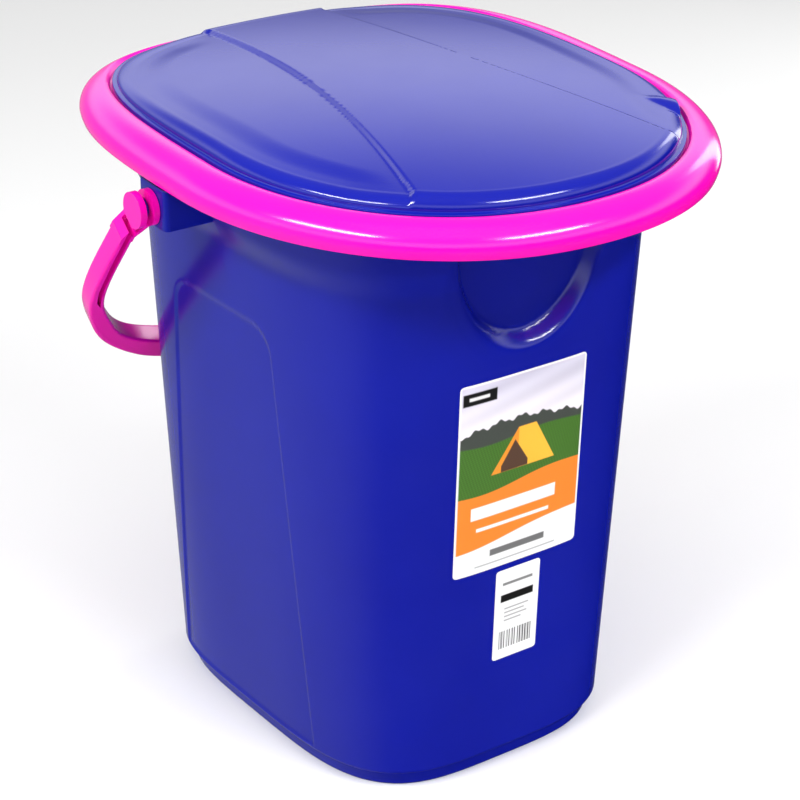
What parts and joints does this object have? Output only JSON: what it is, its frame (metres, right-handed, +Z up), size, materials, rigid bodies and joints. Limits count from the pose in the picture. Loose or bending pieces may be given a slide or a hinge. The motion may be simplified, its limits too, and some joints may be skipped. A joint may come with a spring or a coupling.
{
  "type": "portable camp toilet",
  "caption": "Tapered plastic bucket with a domed seat ring, a lift-off lid with a finger tab, and a swinging bail handle.",
  "frame": {"origin": "middle of the bucket's flat base, on the floor", "axes": "+Z up, -Y towards the front (the label face), +X to the right for someone facing the label"},
  "size_m": [0.3398, 0.3586, 0.3942],
  "materials": {
    "bucket_plastic": "glossy blue polypropylene",
    "seat_plastic": "glossy pink polypropylene",
    "label_paper": "coated paper"
  },
  "bodies": {
    "bucket_body": {"bucket": "bucket_plastic", "main_label": "label_paper", "code_label": "label_paper"},
    "bail_body": {"bail": "seat_plastic"},
    "seat_body": {"seat_ring": "seat_plastic"},
    "lid_body": {"lid": "bucket_plastic"}
  },
  "joints": [
    {"name": "bail_swing", "type": "hinge", "parent": "bucket_body", "child": "bail_body", "pos_m": [0, 0.016, 0.344], "axis": [1, 0, 0], "range_deg": [0, 205]},
    {"name": "seat_lift", "type": "slide", "parent": "bucket_body", "child": "seat_body", "axis": [0, 0, 1], "range_m": [0, 0.12]},
    {"name": "lid_lift", "type": "slide", "parent": "seat_body", "child": "lid_body", "axis": [0, 0, 1], "range_m": [0, 0.12]}
  ]
}
